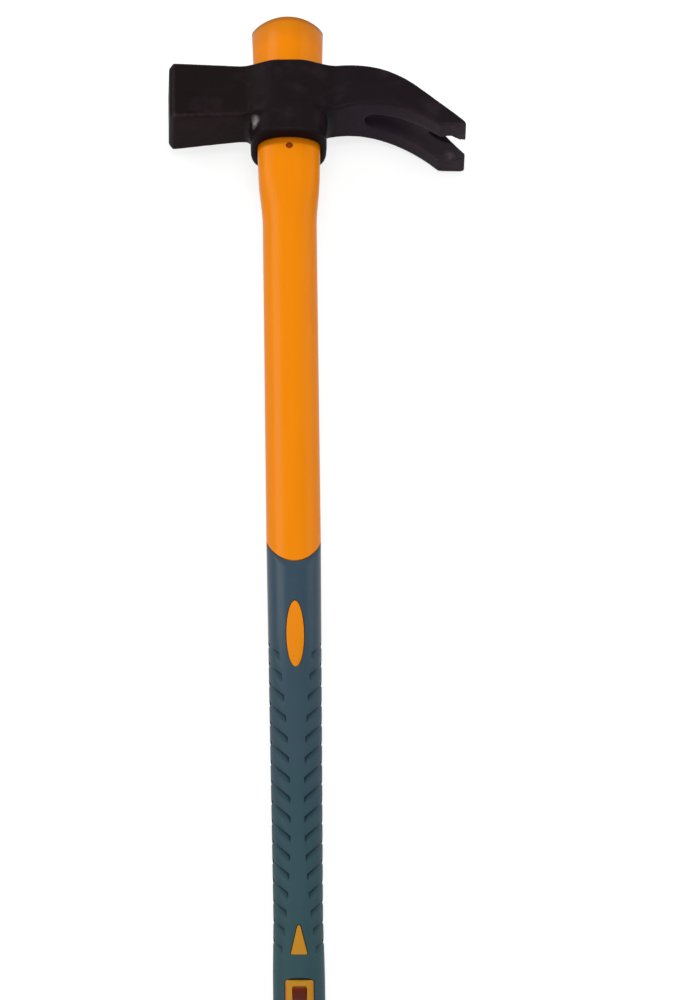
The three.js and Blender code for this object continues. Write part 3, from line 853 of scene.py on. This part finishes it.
def groove_rings():
    rings = []
    for index in range(CHEVRON_COUNT):
        z = GRIP_TOP - CHEVRON_DROP - index * CHEVRON_PITCH
        spread = 2 * index / (CHEVRON_COUNT - 1) - 1
        rings += [fold_ring(z + step, spread, CHEVRON_DEPTH * share) for step, share in GROOVE]
    return rings


# Rings on the surface between two others, without those two
def rings_between(turns, first, last, count):
    rings = []
    for i in range(1, count):
        heights = [mix(a[2], b[2], i / count) for a, b in zip(first, last)]
        rings.append([handle_point(turn, z) for turn, z in zip(turns, heights)])
    return rings


def grip():
    turns = [turn for turn, _, _ in grip_turns(BAND_END, SHAFT_SIZE[0])]
    lining_low = BUTT + GRIP_END
    lining_high = GRIP_TOP - 2 * SCALLOP_DEPTH
    heights = [mix(lining_low, lining_high, i / LINING_ROWS) for i in range(LINING_ROWS + 1)]
    lining = [level_ring(turns, z, -GRIP_WALL) for z in heights]
    lip = [edge_ring(turns, lift, offset) for lift, offset in GRIP_EDGE]
    grooves = groove_rings()
    above = rings_between(turns, lip[-1], grooves[0], ABOVE_ROWS)
    straight = BUTT + BUTT_ROUNDING
    foot = level_ring(turns, straight)
    below = rings_between(turns, grooves[-1], foot, BELOW_ROWS) + [foot]
    butt = []
    for i in range(1, BUTT_ROWS + 1):
        angle = math.pi / 2 * i / BUTT_ROWS
        inset = BUTT_ROUNDING * (1 - math.cos(angle))
        butt.append(level_ring(turns, straight - BUTT_ROUNDING * math.sin(angle), -inset))
    return skin(lining + lip + above + grooves + below + butt)


def make_grip():
    openings = [prism(outline(GAP)) for outline in (oval_outline, triangle_outline, frame_outline)]
    data = cut(mesh_of("grip", grip()), join(openings), "grip")
    finish_piece(data, "grip", grey_rubber(), "grip_sleeve", sharp=50)


# The forging: the solid's own shape with soft edges and a slightly uneven skin, sunk to stay inside it
WELD = 0.001 * MM
HEAD_VOXEL = 0.55 * MM
SOFTENING = 0.5
SOFTENING_ROUNDS = 5
FACES_KEPT = 0.45
UNEVEN = 0.10 * MM
SUNK = 0.6
DENT = 14 * MM
RIPPLE = 4 * MM
RIPPLE_SHARE = 0.35

# The parting line on the poll's two sides, and where it fades out at either end
PARTING = -14.7
PARTING_HEIGHT = 0.14
PARTING_WIDTH = 0.7
PARTING_FACE_END = -57.5
PARTING_FACE_FADE = 2
PARTING_EYE_END = -26
PARTING_EYE_FADE = 4
PARTING_FOCUS = 4  # the power that keeps it off the edges


def parting_line(place, normal):
    x = (place.x - axis_x) / MM
    z = (place.y - head_top_y) / MM
    ends = ease((PARTING_EYE_END - x) / PARTING_EYE_FADE) * ease((x - PARTING_FACE_END) / PARTING_FACE_FADE)
    ridge = math.exp(-((z - PARTING) / PARTING_WIDTH) ** 2)
    return PARTING_HEIGHT * MM * ends * abs(normal.z) ** PARTING_FOCUS * ridge


def softened_head():
    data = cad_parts["hammer_head"].data.copy()
    work = bmesh.new()
    work.from_mesh(data)
    bmesh.ops.remove_doubles(work, verts=work.verts, dist=WELD)
    work.to_mesh(data)
    work.free()
    piece = add(data, "head")
    voxels = piece.modifiers.new("voxels", "REMESH")
    voxels.mode = "VOXEL"
    voxels.voxel_size = HEAD_VOXEL
    soft = piece.modifiers.new("soft", "SMOOTH")
    soft.factor = SOFTENING
    soft.iterations = SOFTENING_ROUNDS
    fewer = piece.modifiers.new("fewer", "DECIMATE")
    fewer.ratio = FACES_KEPT
    return settled(piece, "head")


def make_head():
    data = softened_head()
    places = [vertex.co.copy() for vertex in data.vertices]
    normals = [vertex.normal.copy() for vertex in data.vertices]
    for vertex, place, normal in zip(data.vertices, places, normals):
        dent = noise.noise(place / DENT) + RIPPLE_SHARE * noise.noise(place / RIPPLE)
        vertex.co = place + normal * (UNEVEN * (dent - SUNK) + parting_line(place, normal))
    finish_piece(data, "head", black_steel(), "hammer_head", sharp=60)


make_head()
make_jacket()
make_grip()

for node, dressing in (("fibreglass_core", raw_fibreglass()), ("retaining_pin", pin_steel())):
    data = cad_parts[node].data
    data.materials.clear()
    data.materials.append(dressing)


# Stage: a floor that stays white where nothing shades it
FLOOR_REACH = 60
FLOOR_GLOW = 0.80
FLOOR_SHADE = 0.30
FLOOR_ALBEDO = 0.6


def grey(level):
    return level, level, level, 1


def make_floor():
    data = bpy.data.meshes.new("floor")
    corners = [(-1, -1), (1, -1), (1, 1), (-1, 1)]
    data.from_pydata([(x * FLOOR_REACH, y * FLOOR_REACH, 0) for x, y in corners], [], [(0, 1, 2, 3)])
    floor = add(data, "floor")
    material = bpy.data.materials.new("floor")
    material.use_nodes = True
    tree = material.node_tree
    tree.nodes.remove(tree.nodes["Principled BSDF"])
    plain = new_node(tree, "ShaderNodeBsdfDiffuse", None, {"Color": grey(FLOOR_ALBEDO)})
    shade = new_node(tree, "ShaderNodeBsdfDiffuse", None, {"Color": grey(FLOOR_SHADE)})
    glow = new_node(tree, "ShaderNodeEmission", None, {"Strength": FLOOR_GLOW})
    bright = new_node(tree, "ShaderNodeAddShader", None, {0: shade.outputs[0], 1: glow.outputs[0]})
    path = tree.nodes.new("ShaderNodeLightPath")
    seen = path.outputs["Is Camera Ray"]
    for other in ("Is Glossy Ray", "Is Transmission Ray"):
        seen = larger(tree, seen, path.outputs[other])
    chosen = new_node(tree, "ShaderNodeMixShader", None, {0: seen, 1: plain.outputs[0], 2: bright.outputs[0]})
    tree.links.new(chosen.outputs[0], tree.nodes["Material Output"].inputs["Surface"])
    data.materials.append(material)


make_floor()


# Light: a soft key overhead, and a strip box at either side for the long highlights
AMBIENT = 0.45


def make_softbox(name, direction, reach, size, energy):
    lamp = bpy.data.lights.new(name, "AREA")
    lamp.shape = "RECTANGLE"
    lamp.size = size[0]
    lamp.size_y = size[1]
    lamp.energy = energy
    place = Vector(direction).normalized() * reach
    box = add(lamp, name)
    box.matrix_world = Matrix.Translation(place) @ (-place).to_track_quat("-Z", "Y").to_matrix().to_4x4()


make_softbox("key", direction=(0, 0.05, 1), reach=3.0, size=(1.6, 1.6), energy=38.5)
make_softbox("left", direction=(-0.69, 0.53, 0.49), reach=2.2, size=(0.55, 1.2), energy=12)
make_softbox("right", direction=(0.763, 0.53, 0.369), reach=2.2, size=(0.5, 1.2), energy=4.5)

world = bpy.data.worlds.new("studio")
bpy.context.scene.world = world
world.use_nodes = True
background = world.node_tree.nodes["Background"]
background.inputs["Color"].default_value = grey(1)
background.inputs["Strength"].default_value = AMBIENT
bpy.context.scene.view_settings.view_transform = "Standard"
